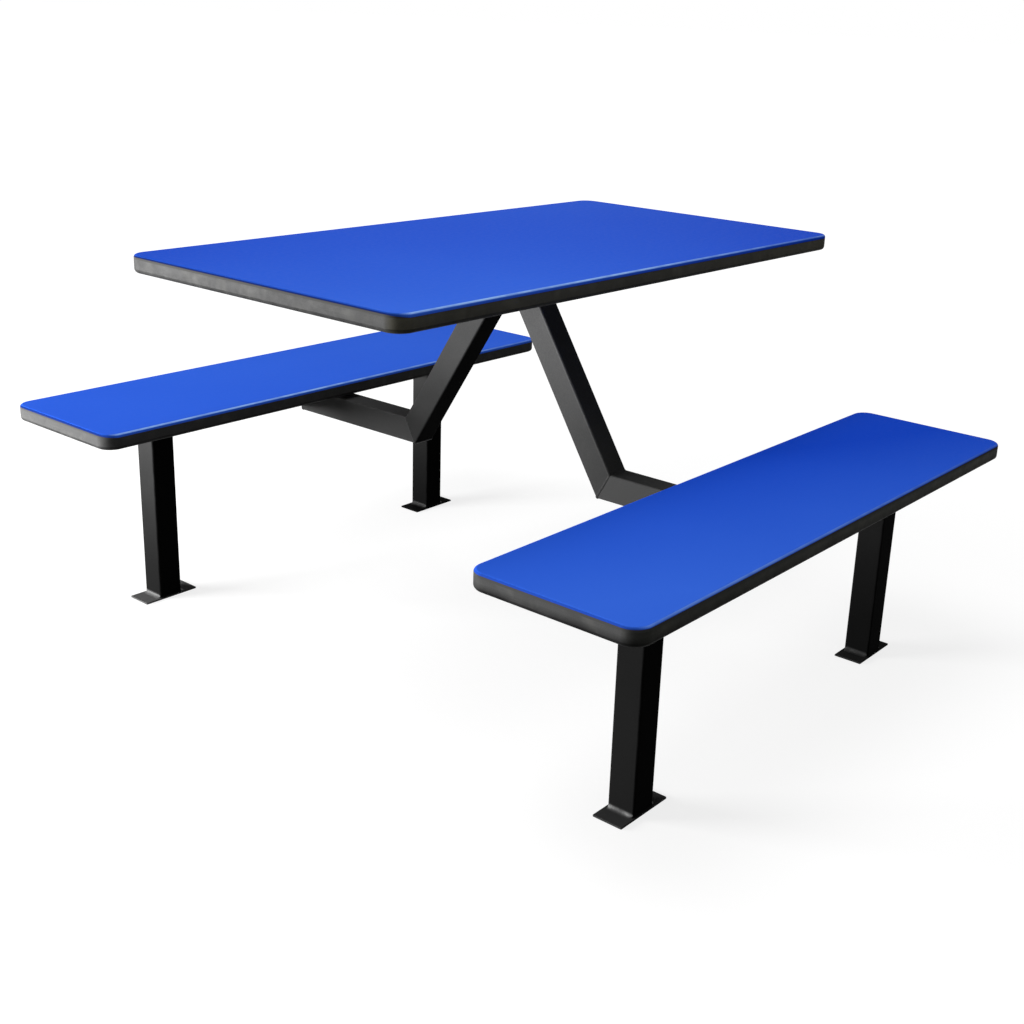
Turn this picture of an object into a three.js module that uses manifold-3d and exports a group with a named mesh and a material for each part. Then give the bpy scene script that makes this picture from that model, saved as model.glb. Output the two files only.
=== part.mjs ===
// Fixed canteen table with two joined benches: a blue table top and two blue seats, all with
// black edges, on one black welded frame of square tube. Millimetres, +Z up, X along the benches,
// the origin on the floor under the middle of the table.
import * as THREE from 'three';
import Module from 'manifold-3d';

const wasm = await Module();
wasm.setup();
const { Manifold, Mesh: SolidMesh } = wasm;

// Overall sizes
const TABLE_HEIGHT = 750;
const TABLE_LENGTH = 1210;
const TABLE_WIDTH = 625;
const SEAT_HEIGHT = 410;
const SEAT_LENGTH = 1180;
const SEAT_WIDTH = 300;
const SEAT_CENTRE_Y = 578;

// Boards: a blue sheet over a core with a black edge band and a thin sheet underneath
const CORNER_RADIUS = 30;
const SHEET_THICKNESS = 7;
const SHEET_ROUND = 5;
const CORE_THICKNESS = 22;
const BACKING_THICKNESS = 1;
const BAND_THICKNESS = 8;
const BAND_ROUND = 7;
const GLUE_GAP = 0.3;
const BOARD_THICKNESS = SHEET_THICKNESS + CORE_THICKNESS + BACKING_THICKNESS;
const CORNER_SEGMENTS = 8;
const EDGE_SEGMENTS = 4;

// Frame of square tube
const TUBE = 50;
const TUBE_WALL = 2;
const TUBE_ROUND = 4;
const TUBE_SEGMENTS = 3;
const RAIL_TUBE = 40;
const LEG_X = 380;
const LEG_Y = 588;
const KNEE_Y = 228;
const DIAGONAL_SPREAD = 13;
const SPINE_END_X = 400;
const WELD_GAP = 0.3;

// Foot plates
const FOOT_LENGTH = 118;
const FOOT_WIDTH = 54;
const FOOT_THICKNESS = 3;
const FOOT_ROUND = 1;
const FOOT_SEGMENTS = 2;

// Flat bearers that carry the boards
const BEARER_WIDTH = 50;
const BEARER_THICKNESS = 8;
const BEARER_ROUND = 3;
const BEARER_SEGMENTS = 2;
const SEAT_BEARER_LENGTH = 220;
const TABLE_BEARER_LENGTH = 480;
const TABLE_BEARER_X = 340;
const SEAT_SCREW_OFFSET = 80;
const TABLE_SCREW_OFFSET = 200;

// Pan head screws
const SCREW_HEAD_RADIUS = 5;
const SCREW_HEAD_HEIGHT = 3;
const SCREW_CROWN_RADIUS = 3.4;
const SCREW_CROWN_HEIGHT = 1.2;
const SCREW_SHANK_RADIUS = 2.25;
const SCREW_BITE = 15;
const SCREW_TIP_LENGTH = 4;
const SCREW_TIP_RADIUS = 0.4;
const SCREW_SEGMENTS = 12;
const HOLE_CLEARANCE = 0.3;
const HOLE_END_GAP = 1;

// Push-in plugs of the spine's open ends
const PLUG_CAP = 3;
const PLUG_STEM = 14;
const PLUG_CLEARANCE = 0.3;

// Levels and places that follow from the sizes above
const HALF_TUBE = TUBE / 2;
const SEAT_UNDERSIDE = SEAT_HEIGHT - BOARD_THICKNESS;
const TABLE_UNDERSIDE = TABLE_HEIGHT - BOARD_THICKNESS;
const ARM_TOP = SEAT_UNDERSIDE - BEARER_THICKNESS;
const ARM_CENTRE_Z = ARM_TOP - HALF_TUBE;
const ARM_BOTTOM = ARM_TOP - TUBE;
const RAIL_CENTRE_Z = ARM_TOP - RAIL_TUBE / 2;
const SPINE_TOP = TABLE_UNDERSIDE - BEARER_THICKNESS;
const SPINE_CENTRE_Z = SPINE_TOP - HALF_TUBE;
const SPINE_BOTTOM = SPINE_TOP - TUBE;

// At the level of the spine's lower face, each diagonal's lower edge is still the spread off the middle
const DIAGONAL_ANGLE = Math.atan2(SPINE_BOTTOM - ARM_BOTTOM, KNEE_Y - DIAGONAL_SPREAD);
const KNEE_AXIS_Y = KNEE_Y + HALF_TUBE * Math.tan(DIAGONAL_ANGLE / 2);

const FULL_TURN = 2 * Math.PI;
const QUARTER_TURN = Math.PI / 2;

// Plain finishes: colour, roughness and metalness
const FINISHES = {
  sheet: { color: 0x2f5fd2, roughness: 0.35, metalness: 0 },
  core: { color: 0xb58a58, roughness: 0.8, metalness: 0 },
  backing: { color: 0xcfc8b8, roughness: 0.7, metalness: 0 },
  band: { color: 0x1c1c1c, roughness: 0.4, metalness: 0 },
  frame: { color: 0x161616, roughness: 0.45, metalness: 0.3 },
  plug: { color: 0x202020, roughness: 0.6, metalness: 0 },
  screw: { color: 0xb4b7ba, roughness: 0.3, metalness: 0.9 },
};

// Side of the table (front is -Y) and end of the table (left is -X), with their signs
const SIDES = [['front', -1], ['rear', 1]];
const ENDS = [['left', -1], ['right', 1]];

// Where a loop's own two directions and its travel direction lie, for a bar along each axis
const ALONG = {
  x: (u, v, travel) => [travel, u, v],
  y: (u, v, travel) => [v, travel, u],
  z: (u, v, travel) => [u, v, travel],
};

const table = new THREE.Group();
table.name = 'canteen_table';

// Outlines

function circleOutline(radius, segments) {
  const points = [];
  for (let step = 0; step < segments; step += 1) {
    const angle = (FULL_TURN * step) / segments;
    points.push([radius * Math.cos(angle), radius * Math.sin(angle)]);
  }
  return points;
}

function roundedOutline(length, width, radius, segments) {
  const points = [];
  const reachX = length / 2 - radius;
  const reachY = width / 2 - radius;
  const corners = [[reachX, reachY], [-reachX, reachY], [-reachX, -reachY], [reachX, -reachY]];
  corners.forEach(([centreX, centreY], corner) => {
    for (let step = 0; step <= segments; step += 1) {
      const angle = (corner + step / segments) * QUARTER_TURN;
      points.push([centreX + radius * Math.cos(angle), centreY + radius * Math.sin(angle)]);
    }
  });
  return points;
}

// Solids

function geometryFrom(positions, triangles) {
  const geometry = new THREE.BufferGeometry();
  geometry.setAttribute('position', new THREE.Float32BufferAttribute(positions, 3));
  geometry.setIndex(triangles);
  return geometry;
}

// Loops of equal count, each outline seen anticlockwise against its travel, skinned in order.
// A ring joins its last loop to its first; any other solid is capped at both ends.
function skin(loops, isRing) {
  const count = loops[0].length;
  const positions = loops.flat(2);
  const triangles = [];
  const spans = isRing ? loops.length : loops.length - 1;
  for (let span = 0; span < spans; span += 1) {
    const lower = span * count;
    const upper = ((span + 1) % loops.length) * count;
    for (let i = 0; i < count; i += 1) {
      const next = (i + 1) % count;
      triangles.push(lower + i, lower + next, upper + next);
      triangles.push(lower + i, upper + next, upper + i);
    }
  }
  if (!isRing) {
    const last = (loops.length - 1) * count;
    for (let i = 1; i < count - 1; i += 1) {
      triangles.push(0, i + 1, i);
      triangles.push(last, last + i, last + i + 1);
    }
  }
  return geometryFrom(positions, triangles);
}

function loopAt(outline, travel, axis = 'z') {
  return outline.map(([u, v]) => ALONG[axis](u, v, travel));
}

// A board-shaped layer whose outline follows a list of [inset, height] steps
function layer(length, width, radius, steps, isRing) {
  const loops = steps.map(([inset, height]) => {
    const outline = roundedOutline(length - 2 * inset, width - 2 * inset, radius - inset, CORNER_SEGMENTS);
    return loopAt(outline, height);
  });
  return skin(loops, isRing);
}

function bar(length, width, radius, segments, bottom, top) {
  const outline = roundedOutline(length, width, radius, segments);
  return skin([loopAt(outline, bottom), loopAt(outline, top)], false);
}

function tube(axis, start, end, side = TUBE) {
  const bore = side - 2 * TUBE_WALL;
  const outer = roundedOutline(side, side, TUBE_ROUND, TUBE_SEGMENTS);
  const inner = roundedOutline(bore, bore, TUBE_ROUND - TUBE_WALL, TUBE_SEGMENTS);
  const loops = [
    loopAt(outer, start, axis),
    loopAt(outer, end, axis),
    loopAt(inner, end, axis),
    loopAt(inner, start, axis),
  ];
  return skin(loops, true);
}

// A turned solid about Z, from a list of [radius, height] steps
function turned(steps) {
  return skin(steps.map(([radius, height]) => loopAt(circleOutline(radius, SCREW_SEGMENTS), height)), false);
}

function toSolid(geometry) {
  return new Manifold(new SolidMesh({
    numProp: 3,
    vertProperties: new Float32Array(geometry.getAttribute('position').array),
    triVerts: new Uint32Array(geometry.getIndex().array),
  }));
}

function fromSolid(solid) {
  const mesh = solid.getMesh();
  return geometryFrom(Array.from(mesh.vertProperties), Array.from(mesh.triVerts));
}

function drill(geometry, cutters) {
  let solid = toSolid(geometry);
  cutters.forEach((cutter) => {
    solid = solid.subtract(toSolid(cutter));
  });
  return fromSolid(solid);
}

// Keeps what lies on the far side of each plane, given as a normal and its distance from the origin
function trim(geometry, planes) {
  let solid = toSolid(geometry);
  planes.forEach(([normal, distance]) => {
    solid = solid.trimByPlane(normal, distance);
  });
  return fromSolid(solid);
}

function add(name, geometry, finish) {
  const shown = geometry.toNonIndexed();
  shown.computeVertexNormals();
  const mesh = new THREE.Mesh(shown, new THREE.MeshStandardMaterial(finish));
  mesh.name = name;
  table.add(mesh);
}

function addFrame(name, geometry) {
  add(name, geometry, FINISHES.frame);
}

// Boards

// Quarter round from the vertical face over to the flat one, as [inset, height] steps
function roundedEdge(radius, edgeHeight, direction) {
  const steps = [];
  for (let step = 0; step <= EDGE_SEGMENTS; step += 1) {
    const angle = (step / EDGE_SEGMENTS) * QUARTER_TURN;
    const inset = radius * (1 - Math.cos(angle));
    steps.push([inset, edgeHeight + direction * radius * Math.sin(angle)]);
  }
  return steps;
}

function blueSheet(length, width, top) {
  const bottom = top - SHEET_THICKNESS;
  const steps = [[0, bottom], ...roundedEdge(SHEET_ROUND, top - SHEET_ROUND, 1)];
  return layer(length, width, CORNER_RADIUS, steps, false);
}

function edgeBand(length, width, top) {
  const bandTop = top - SHEET_THICKNESS;
  const bandBottom = top - BOARD_THICKNESS;
  const lowerRound = roundedEdge(BAND_ROUND, bandBottom + BAND_ROUND, -1).reverse();
  const steps = lowerRound.filter(([inset]) => inset < BAND_THICKNESS);
  const innerBottom = [BAND_THICKNESS, steps[0][1]];
  const profile = [innerBottom, ...steps, [0, bandTop], [BAND_THICKNESS, bandTop]];
  return layer(length, width, CORNER_RADIUS, profile, true);
}

function filling(length, width, bottom, top) {
  const inset = BAND_THICKNESS + GLUE_GAP;
  return layer(length, width, CORNER_RADIUS, [[inset, bottom], [inset, top]], false);
}

function screwHole(x, y, bottom, top) {
  const radius = SCREW_SHANK_RADIUS + HOLE_CLEARANCE;
  return turned([[radius, bottom], [radius, top]]).translate(x, y, 0);
}

function addBoard(name, length, width, centreY, top, screwPlaces) {
  const coreTop = top - SHEET_THICKNESS;
  const coreBottom = coreTop - CORE_THICKNESS;
  const underside = top - BOARD_THICKNESS;
  const holeTop = underside + SCREW_BITE + HOLE_END_GAP;
  const holes = screwPlaces.map(([x, y]) => screwHole(x, y, underside - HOLE_END_GAP, holeTop));
  const sheet = blueSheet(length, width, top).translate(0, centreY, 0);
  const band = edgeBand(length, width, top).translate(0, centreY, 0);
  const core = filling(length, width, coreBottom, coreTop).translate(0, centreY, 0);
  const backing = filling(length, width, underside, coreBottom).translate(0, centreY, 0);
  add(`${name}_sheet`, sheet, FINISHES.sheet);
  add(`${name}_core`, drill(core, holes), FINISHES.core);
  add(`${name}_edge_band`, band, FINISHES.band);
  add(`${name}_backing`, drill(backing, holes), FINISHES.backing);
}

// Bearers and screws

function screw(x, y, underside) {
  const headBottom = underside - BEARER_THICKNESS - SCREW_HEAD_HEIGHT;
  const headTop = headBottom + SCREW_HEAD_HEIGHT;
  const tip = underside + SCREW_BITE;
  const steps = [
    [SCREW_CROWN_RADIUS, headBottom],
    [SCREW_HEAD_RADIUS, headBottom + SCREW_CROWN_HEIGHT],
    [SCREW_HEAD_RADIUS, headTop],
    [SCREW_SHANK_RADIUS, headTop],
    [SCREW_SHANK_RADIUS, tip - SCREW_TIP_LENGTH],
    [SCREW_TIP_RADIUS, tip],
  ];
  return turned(steps).translate(x, y, 0);
}

function addBearer(name, x, centreY, length, underside, screwOffset, screwSides) {
  const bottom = underside - BEARER_THICKNESS;
  const flat = bar(BEARER_WIDTH, length, BEARER_ROUND, BEARER_SEGMENTS, bottom, underside)
    .translate(x, centreY, 0);
  const places = screwSides.map(([side, sign]) => [side, centreY + sign * screwOffset]);
  const holes = places.map(([, y]) => screwHole(x, y, bottom - HOLE_END_GAP, underside + HOLE_END_GAP));
  addFrame(`${name}_bearer`, drill(flat, holes));
  places.forEach(([side, y]) => {
    add(`${name}_${side}_screw`, screw(x, y, underside), FINISHES.screw);
  });
  return places.map(([, y]) => [x, y]);
}

// The middle bearer lies over the arm on its inner half, so only its outer half takes a screw
function addSeat(side, sign) {
  const seatY = sign * SEAT_CENTRE_Y;
  const bearers = [['left', -LEG_X, SIDES], ['middle', 0, [[side, sign]]], ['right', LEG_X, SIDES]];
  const screwPlaces = bearers.flatMap(([place, x, screwSides]) => addBearer(
    `${side}_seat_${place}`, x, seatY, SEAT_BEARER_LENGTH, SEAT_UNDERSIDE, SEAT_SCREW_OFFSET, screwSides,
  ));
  addBoard(`${side}_seat`, SEAT_LENGTH, SEAT_WIDTH, seatY, SEAT_HEIGHT, screwPlaces);
}

function addTable() {
  const bearers = [['left', -TABLE_BEARER_X], ['middle', 0], ['right', TABLE_BEARER_X]];
  const screwPlaces = bearers.flatMap(([place, x]) => addBearer(
    `table_${place}`, x, 0, TABLE_BEARER_LENGTH, TABLE_UNDERSIDE, TABLE_SCREW_OFFSET, SIDES,
  ));
  addBoard('table', TABLE_LENGTH, TABLE_WIDTH, 0, TABLE_HEIGHT, screwPlaces);
}

// Frame

function addLeg(name, x, y) {
  const foot = bar(FOOT_LENGTH, FOOT_WIDTH, FOOT_ROUND, FOOT_SEGMENTS, 0, FOOT_THICKNESS);
  addFrame(`${name}_foot`, foot.translate(x, y, 0));
  addFrame(`${name}_leg`, tube('z', FOOT_THICKNESS, ARM_TOP).translate(x, y, 0));
}

function addSeatRail(side, y) {
  const reach = LEG_X - HALF_TUBE;
  addFrame(`${side}_seat_rail`, tube('x', -reach, reach, RAIL_TUBE).translate(0, y, RAIL_CENTRE_Z));
}

// The mitre plane of a knee, with its normal pointing up the diagonal
function mitrePlane(sign) {
  const half = DIAGONAL_ANGLE / 2;
  const normal = [0, -sign * Math.cos(half), Math.sin(half)];
  const distance = normal[1] * sign * KNEE_AXIS_Y + normal[2] * ARM_CENTRE_Z;
  return { normal, distance };
}

function addArm(side, sign) {
  const { normal, distance } = mitrePlane(sign);
  const backward = normal.map((value) => -value);
  const railFace = sign * (LEG_Y - RAIL_TUBE / 2);
  const ends = [0, railFace].sort((a, b) => a - b);
  const straight = tube('y', ...ends).translate(0, 0, ARM_CENTRE_Z);
  addFrame(`${side}_arm`, trim(straight, [[backward, WELD_GAP / 2 - distance]]));
}

function addDiagonal(side, sign) {
  const { normal, distance } = mitrePlane(sign);
  const tilt = sign * (QUARTER_TURN - DIAGONAL_ANGLE);
  const straight = tube('z', -TUBE, SPINE_TOP).rotateX(tilt)
    .translate(0, sign * KNEE_AXIS_Y, ARM_CENTRE_Z);
  const planes = [
    [normal, distance + WELD_GAP / 2],
    [[0, sign, 0], WELD_GAP / 2],
    [[0, 0, -1], WELD_GAP - SPINE_TOP],
  ];
  addFrame(`${side}_diagonal`, trim(straight, planes));
}

function addSpine(end, sign) {
  const reach = [sign * HALF_TUBE, sign * SPINE_END_X].sort((a, b) => a - b);
  addFrame(`${end}_spine`, tube('x', ...reach).translate(0, 0, SPINE_CENTRE_Z));
}

function addPlug(end, sign) {
  const stemWidth = TUBE - 2 * TUBE_WALL - 2 * PLUG_CLEARANCE;
  const cap = roundedOutline(TUBE, TUBE, TUBE_ROUND, TUBE_SEGMENTS);
  const stem = roundedOutline(stemWidth, stemWidth, TUBE_ROUND - TUBE_WALL, TUBE_SEGMENTS);
  const capLoops = [loopAt(cap, -PLUG_CAP, 'x'), loopAt(cap, 0, 'x')];
  const stemLoops = [loopAt(stem, 0, 'x'), loopAt(stem, PLUG_STEM, 'x')];
  const plug = skin([...capLoops, ...stemLoops], false);
  const turnedIn = sign > 0 ? plug.rotateZ(Math.PI) : plug;
  add(`${end}_spine_plug`, turnedIn.translate(sign * SPINE_END_X, 0, SPINE_CENTRE_Z), FINISHES.plug);
}

// Assembly

SIDES.forEach(([side, sign]) => {
  const legY = sign * LEG_Y;
  ENDS.forEach(([end, endSign]) => addLeg(`${side}_${end}`, endSign * LEG_X, legY));
  addSeatRail(side, legY);
  addArm(side, sign);
  addDiagonal(side, sign);
  addSeat(side, sign);
});

ENDS.forEach(([end, sign]) => {
  addSpine(end, sign);
  addPlug(end, sign);
});

addTable();

export default table;
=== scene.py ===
import math

import bmesh
import bpy
from mathutils import Matrix, Vector


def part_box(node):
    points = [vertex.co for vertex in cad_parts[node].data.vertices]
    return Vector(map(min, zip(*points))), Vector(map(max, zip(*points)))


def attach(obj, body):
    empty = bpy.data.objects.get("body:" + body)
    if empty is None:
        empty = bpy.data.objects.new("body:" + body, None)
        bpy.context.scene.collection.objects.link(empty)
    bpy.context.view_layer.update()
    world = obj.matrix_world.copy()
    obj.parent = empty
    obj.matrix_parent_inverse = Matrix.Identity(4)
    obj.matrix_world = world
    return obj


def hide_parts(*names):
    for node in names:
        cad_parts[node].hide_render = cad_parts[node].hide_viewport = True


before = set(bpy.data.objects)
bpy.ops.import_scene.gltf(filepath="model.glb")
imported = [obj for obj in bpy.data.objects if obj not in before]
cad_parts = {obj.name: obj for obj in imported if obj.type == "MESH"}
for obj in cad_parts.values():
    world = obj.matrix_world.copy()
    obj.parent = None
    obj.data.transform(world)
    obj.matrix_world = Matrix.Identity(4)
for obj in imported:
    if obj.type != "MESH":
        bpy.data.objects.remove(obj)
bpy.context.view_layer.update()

# Canteen table with two benches: finer pieces over the CAD solids, in metres. The front is -Y, the left is
# -X and the floor is at nought.
MM = 0.001
BODY = "root"
SIDES = ("front", "rear")
ENDS = ("left", "right")

# Directions, and the limits for picking out edges and faces
X_AXIS, Y_AXIS, Z_AXIS = range(3)
ORIGIN = Vector((0, 0, 0))
FRONT = Vector((0, -1, 0))
REAR = Vector((0, 1, 0))
UP = Vector((0, 0, 1))
LOW_END, HIGH_END = -1, 1
NEAR = 0.02 * MM
PARALLEL = 0.999
FLAT = 0.99
LEVEL = 0.001
SHARP_ANGLE = math.radians(35)


# Colours
def grey(level):
    return (level, level, level)


def scaled(colour, amount):
    return tuple(amount * part for part in colour)


def shades_of(colours, amount):
    return [scaled(colour, amount) for colour in colours]


# Boards: blue sheet on a core, with a black band round the edge
BOARDS = ("front_seat", "rear_seat", "table")
CORNER_RADIUS = 30 * MM
CORNER_STEPS = 18
SHEET_ROUND = 5 * MM
SHEET_STEPS = 8
BAND_THICKNESS = 8 * MM
BAND_ROUND = 7 * MM
BAND_STEPS = 8

# Blue of the boards with painted light and shade: a shaded and a lit blue, a speckle, and how much painted
# light each board gets at the left and right of its front and rear edge
SHADED_BLUE = (0.004, 0.055, 0.56)
LIT_BLUE = (0.037, 0.140, 0.75)
SPECK_BLUE = (0.05, 0.16, 0.80)
LIT_SHARE_FRONT = {"front_seat": (1.18, 0.29), "rear_seat": (0.65, 0.85), "table": (1.13, 0.09)}
LIT_SHARE_REAR = {"front_seat": (0.67, -0.4), "rear_seat": (0.65, 0.85), "table": (0.27, 0.54)}

# Painted highlight line on the turned-over edge: its strength, its depths below the face, and where it fades
# along X
HIGHLIGHT_BLUE = (0.34, 0.57, 1.0)
EDGE_SHINE = {"front_seat": 0.3, "rear_seat": 0.95, "table": 1.0}
HIGHLIGHT_STARTS, HIGHLIGHT_FULL = 0.05 * MM, 0.3 * MM
HIGHLIGHT_FADES, HIGHLIGHT_ENDS = 1.8 * MM, 2.6 * MM
HIGHLIGHT_BRIGHT_X, HIGHLIGHT_FAINT_X = -0.1, 0.45
HIGHLIGHT_FAINT = 0.35

# Painted shade on the turned-over edges at the left and rear, which face the side lamp: the shade of their
# upper and lower part, and the depths where these start
END_BLUE = (0.028, 0.108, 0.66)
END_SHADE = {"front_seat": (0.5, 0.46), "rear_seat": (0.2, 0.14), "table": (0.42, 0.12)}
UPPER_STARTS, UPPER_FULL = 0.03 * MM, 0.9 * MM
LOWER_STARTS, LOWER_FULL = 1.3 * MM, 2.0 * MM

# Depth of the blue at the edges that face the side lamp and at those that face away, and the dark sealed
# edge that follows it
BLUE_DEPTH = {"front_seat": (3.0 * MM, 3.0 * MM), "rear_seat": (3.5 * MM, 6.3 * MM),
              "table": (3.2 * MM, 6.3 * MM)}
SEAL_BROWN = (0.045, 0.030, 0.022)
SEAL_FULL = 0.3 * MM
SEAL_ENDS = 0.9 * MM
SEAL_BLACK = (0.052, 0.052, 0.051)

# How far an edge faces away from the side lamp before the painted highlight, the painted edge shade and the
# depth of the blue change there
HIGHLIGHT_AWAY = (0.5, 0.9)
SHADE_AWAY = (0.1, 0.8)
DEPTH_AWAY = (0.2, 0.8)

# Black of the bands: grain, wear, painted shade on the rounded lower edge, low down and at the rear, and
# painted light and shade on the side at the front
BAND_BLACKS = (grey(0.048), grey(0.061))
BAND_PALE = (0.092, 0.091, 0.087)
BAND_DULL = grey(0.033)
BAND_SCUFF = (0.085, 0.084, 0.08)
# Painted shade on the band's rounded lower edge
BAND_EDGE_SHADE = grey(0.018)
# Painted shade on the rear side of the bands, which faces the side lamp
BAND_REAR_SHADE = grey(0.016)
BAND_REAR_SHARE = 0.8
# Painted shade low down on the band, strongest on the front seat
LOW_SHADE_BLACK = grey(0.006)
LOW_SHADE_FULL = 4 * MM
LOW_SHADE_ENDS = 17 * MM
BAND_LOW_SHADE = {"front_seat": 0.95, "rear_seat": 0.0, "table": 0.25}
# Painted light on the table's front side and painted shade on the seats' front sides
BAND_FRONT_TINT = {"front_seat": (0.75, 0.77, 0.68), "rear_seat": (0.62, 0.62, 0.62),
                   "table": (1.42, 1.35, 0.95)}

# Frame of square tube
ARM_LOW, ARM_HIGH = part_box("front_arm")
TUBE = ARM_HIGH.z - ARM_LOW.z
TUBE_WALL = 2 * MM
TUBE_ROUND = 4 * MM
TUBE_STEPS = 6
ARM_CENTRE_Z = (ARM_LOW.z + ARM_HIGH.z) / 2
KNEE_CORNER_Y = -ARM_HIGH.y
SPINE_BOTTOM_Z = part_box("left_spine")[0].z
DIAGONAL_TOP_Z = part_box("front_diagonal")[1].z
LEG_TOP_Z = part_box("front_left_leg")[1].z
DIAGONAL_SPREAD = 13 * MM
DIAGONAL_ANGLE = math.atan2(SPINE_BOTTOM_Z - ARM_LOW.z, KNEE_CORNER_Y - DIAGONAL_SPREAD)
KNEE_AXIS_Y = KNEE_CORNER_Y + TUBE / 2 * math.tan(DIAGONAL_ANGLE / 2)
DIAGONAL_STOCK = 700 * MM
KNEE_OVERRUN = 80 * MM

# Blacks of the frame: plain paint, paint on the rubbed edges, and dusty paint
FRAME_BLACKS = (grey(0.008), grey(0.022), grey(0.013))
# A paler copy of the blacks, painted light, for the arms and foot plates
LIT_BLACKS = (grey(0.036), grey(0.055), grey(0.046))
DIAGONAL_BLACKS = (grey(0.007), grey(0.026), grey(0.018))

# Blacks of the diagonals' sides, painted lighter from the knee to the top, and how much painted light and
# shade their fronts get
DIAGONAL_SIDES = {"front": (grey(0.038), grey(0.076)), "rear": (grey(0.026), grey(0.054))}
DIAGONAL_FRONT_SHADE = {"front": 4.0, "rear": 0.4}

# Painted light and shade on each leg, on its sides below the seat, on its front, on its foot plate and on
# the foot's weld
LEG_SHADE = {"front_left": 1.0, "front_right": 0.41, "rear_left": 0.71, "rear_right": 0.35}
LEG_TOP_SHADE = {"front_left": 1.1, "front_right": 4.2, "rear_left": 4.6, "rear_right": 9.0}
LEG_FRONT_SHADE = {"front_left": 0.2, "front_right": 0.9, "rear_left": 0.43, "rear_right": 0.75}
FOOT_SHADE = {"front_left": 1.0, "front_right": 0.55, "rear_left": 1.8, "rear_right": 0.15}
WELD_SHADE = {"front_left": 1.0, "front_right": 0.18, "rear_left": 0.45, "rear_right": 0.15}

# Foot plates, bearers and plugs
FOOT_TOP_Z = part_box("front_left_foot")[1].z
FOOT_CORNER = 1 * MM
FOOT_EDGE = 0.4 * MM
BEARER_ROUND = 2.5 * MM
SMALL_STEPS = 4
PLUG_CAP = 3 * MM
PLUG_EDGE = 1.2 * MM
PLUG_CLEARANCE = 0.3 * MM
PLUG_BLACKS = (grey(0.007), grey(0.011))
PLUG_RUBBED = grey(0.03)

# Welds at the feet, with the heights above the plate where their painted highlight lies
FOOT_END_WELD = 8 * MM
FOOT_SIDE_WELD = 2 * MM
WELD_TAPER = 0.5
WELD_RUN_OUT = 3 * MM
WELD_STEPS = 8
WELD_HIGHLIGHT_GREYS = (grey(0.15), grey(0.22))
WELD_HIGHLIGHT_STARTS, WELD_HIGHLIGHT_FULL = 0.2 * MM, 2.4 * MM
WELD_HIGHLIGHT_FADES, WELD_HIGHLIGHT_ENDS = 2.6 * MM, 6.5 * MM
WELD_LEG_BLACK = 5 * MM

# Beads round the knees and tube ends
SEAM_WIDTH = 5 * MM
SEAM_RISE = 0.8 * MM
SEAM_DEPTH = 1.5 * MM
SEAM_STEPS = 5
SEAM_BLACKS = (grey(0.018), grey(0.032))

# Pan head screws with a six-lobed recess
SCREW_HEAD = 5 * MM
SCREW_HEAD_HEIGHT = 3 * MM
SCREW_CROWN = 3.4 * MM
SCREW_CROWN_HEIGHT = 1.2 * MM
SCREW_RECESS = 2.2 * MM
SCREW_RECESS_DEPTH = 1.6 * MM
SCREW_SHANK = 2.25 * MM
SCREW_TIP = 0.4 * MM
SCREW_TIP_LENGTH = 4 * MM
SCREW_FACETS = 24
SCREW_LOBES = 6
LOBE_DRAW_IN = 0.7

# Colours of what is hidden in the boards, and of the screws
BACKING_GREYS = ((0.40, 0.39, 0.37), (0.46, 0.45, 0.43))
BACKING_CLOUD = (0.43, 0.41, 0.38)
CHIP_BROWNS = ((0.30, 0.19, 0.10), (0.52, 0.37, 0.22))
CHIP_CLOUD = (0.42, 0.29, 0.17)
ZINC_GREYS = ((0.50, 0.50, 0.48), (0.66, 0.66, 0.64))

# How much the finishes reflect
SHEET_GLOSS = 0.001
BAND_GLOSS = 0.012
PAINT_GLOSS = 0.001
WELD_GLOSS = 0.05
SEAM_GLOSS = 0.02
PLUG_GLOSS = 0.05

# Values between which noise mostly lies, and the numbers of a Mix node's sockets for colours
NOISE_SPREAD = (0.3, 0.7)
RIPPLE_SPREAD = (0.35, 0.65)
MIX_FIRST, MIX_SECOND, MIX_RESULT = 6, 7, 2


# Mesh helpers
def block(low, high):
    bm = bmesh.new()
    bmesh.ops.create_cube(bm, size=1)
    bmesh.ops.scale(bm, vec=high - low, verts=bm.verts)
    bmesh.ops.translate(bm, vec=(low + high) / 2, verts=bm.verts)
    return bm


def edges_along(bm, axis):
    chosen = []
    for edge in bm.edges:
        run = edge.verts[1].co - edge.verts[0].co
        if abs(run[axis]) > PARALLEL * run.length:
            chosen.append(edge)
    return chosen


def edges_at(bm, axis, place):
    return [edge for edge in bm.edges
            if all(abs(vert.co[axis] - place) < NEAR for vert in edge.verts)]


def faces_facing(bm, axis):
    bm.normal_update()
    return [face for face in bm.faces if abs(face.normal[axis]) > PARALLEL]


def of_kind(kind, made):
    return [part for part in made if isinstance(part, kind)]


def round_edges(bm, edges, radius, steps):
    bmesh.ops.bevel(bm, geom=edges, offset=radius, offset_type="OFFSET", affect="EDGES",
                    segments=steps, profile=0.5, material=-1, clamp_overlap=True)


def rounded_block(low, high, corner, rim_height, rim):
    """A flat block with rounded upright corners and a rounded rim at one height. The corner and the rim are
    each given by a radius and a number of steps."""
    bm = block(low, high)
    round_edges(bm, edges_along(bm, Z_AXIS), *corner)
    round_edges(bm, edges_at(bm, Z_AXIS, rim_height), *rim)
    return bm


def turn(bm, angle, axis):
    bmesh.ops.rotate(bm, cent=ORIGIN, matrix=Matrix.Rotation(angle, 3, axis), verts=bm.verts)


def mark_faces(bm, name, amount_of):
    """Gives each face an amount, which a finish reads by its name."""
    layer = bm.loops.layers.float.new(name)
    bm.normal_update()
    for face in bm.faces:
        amount = amount_of(face)
        for loop in face.loops:
            loop[layer] = amount


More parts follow.
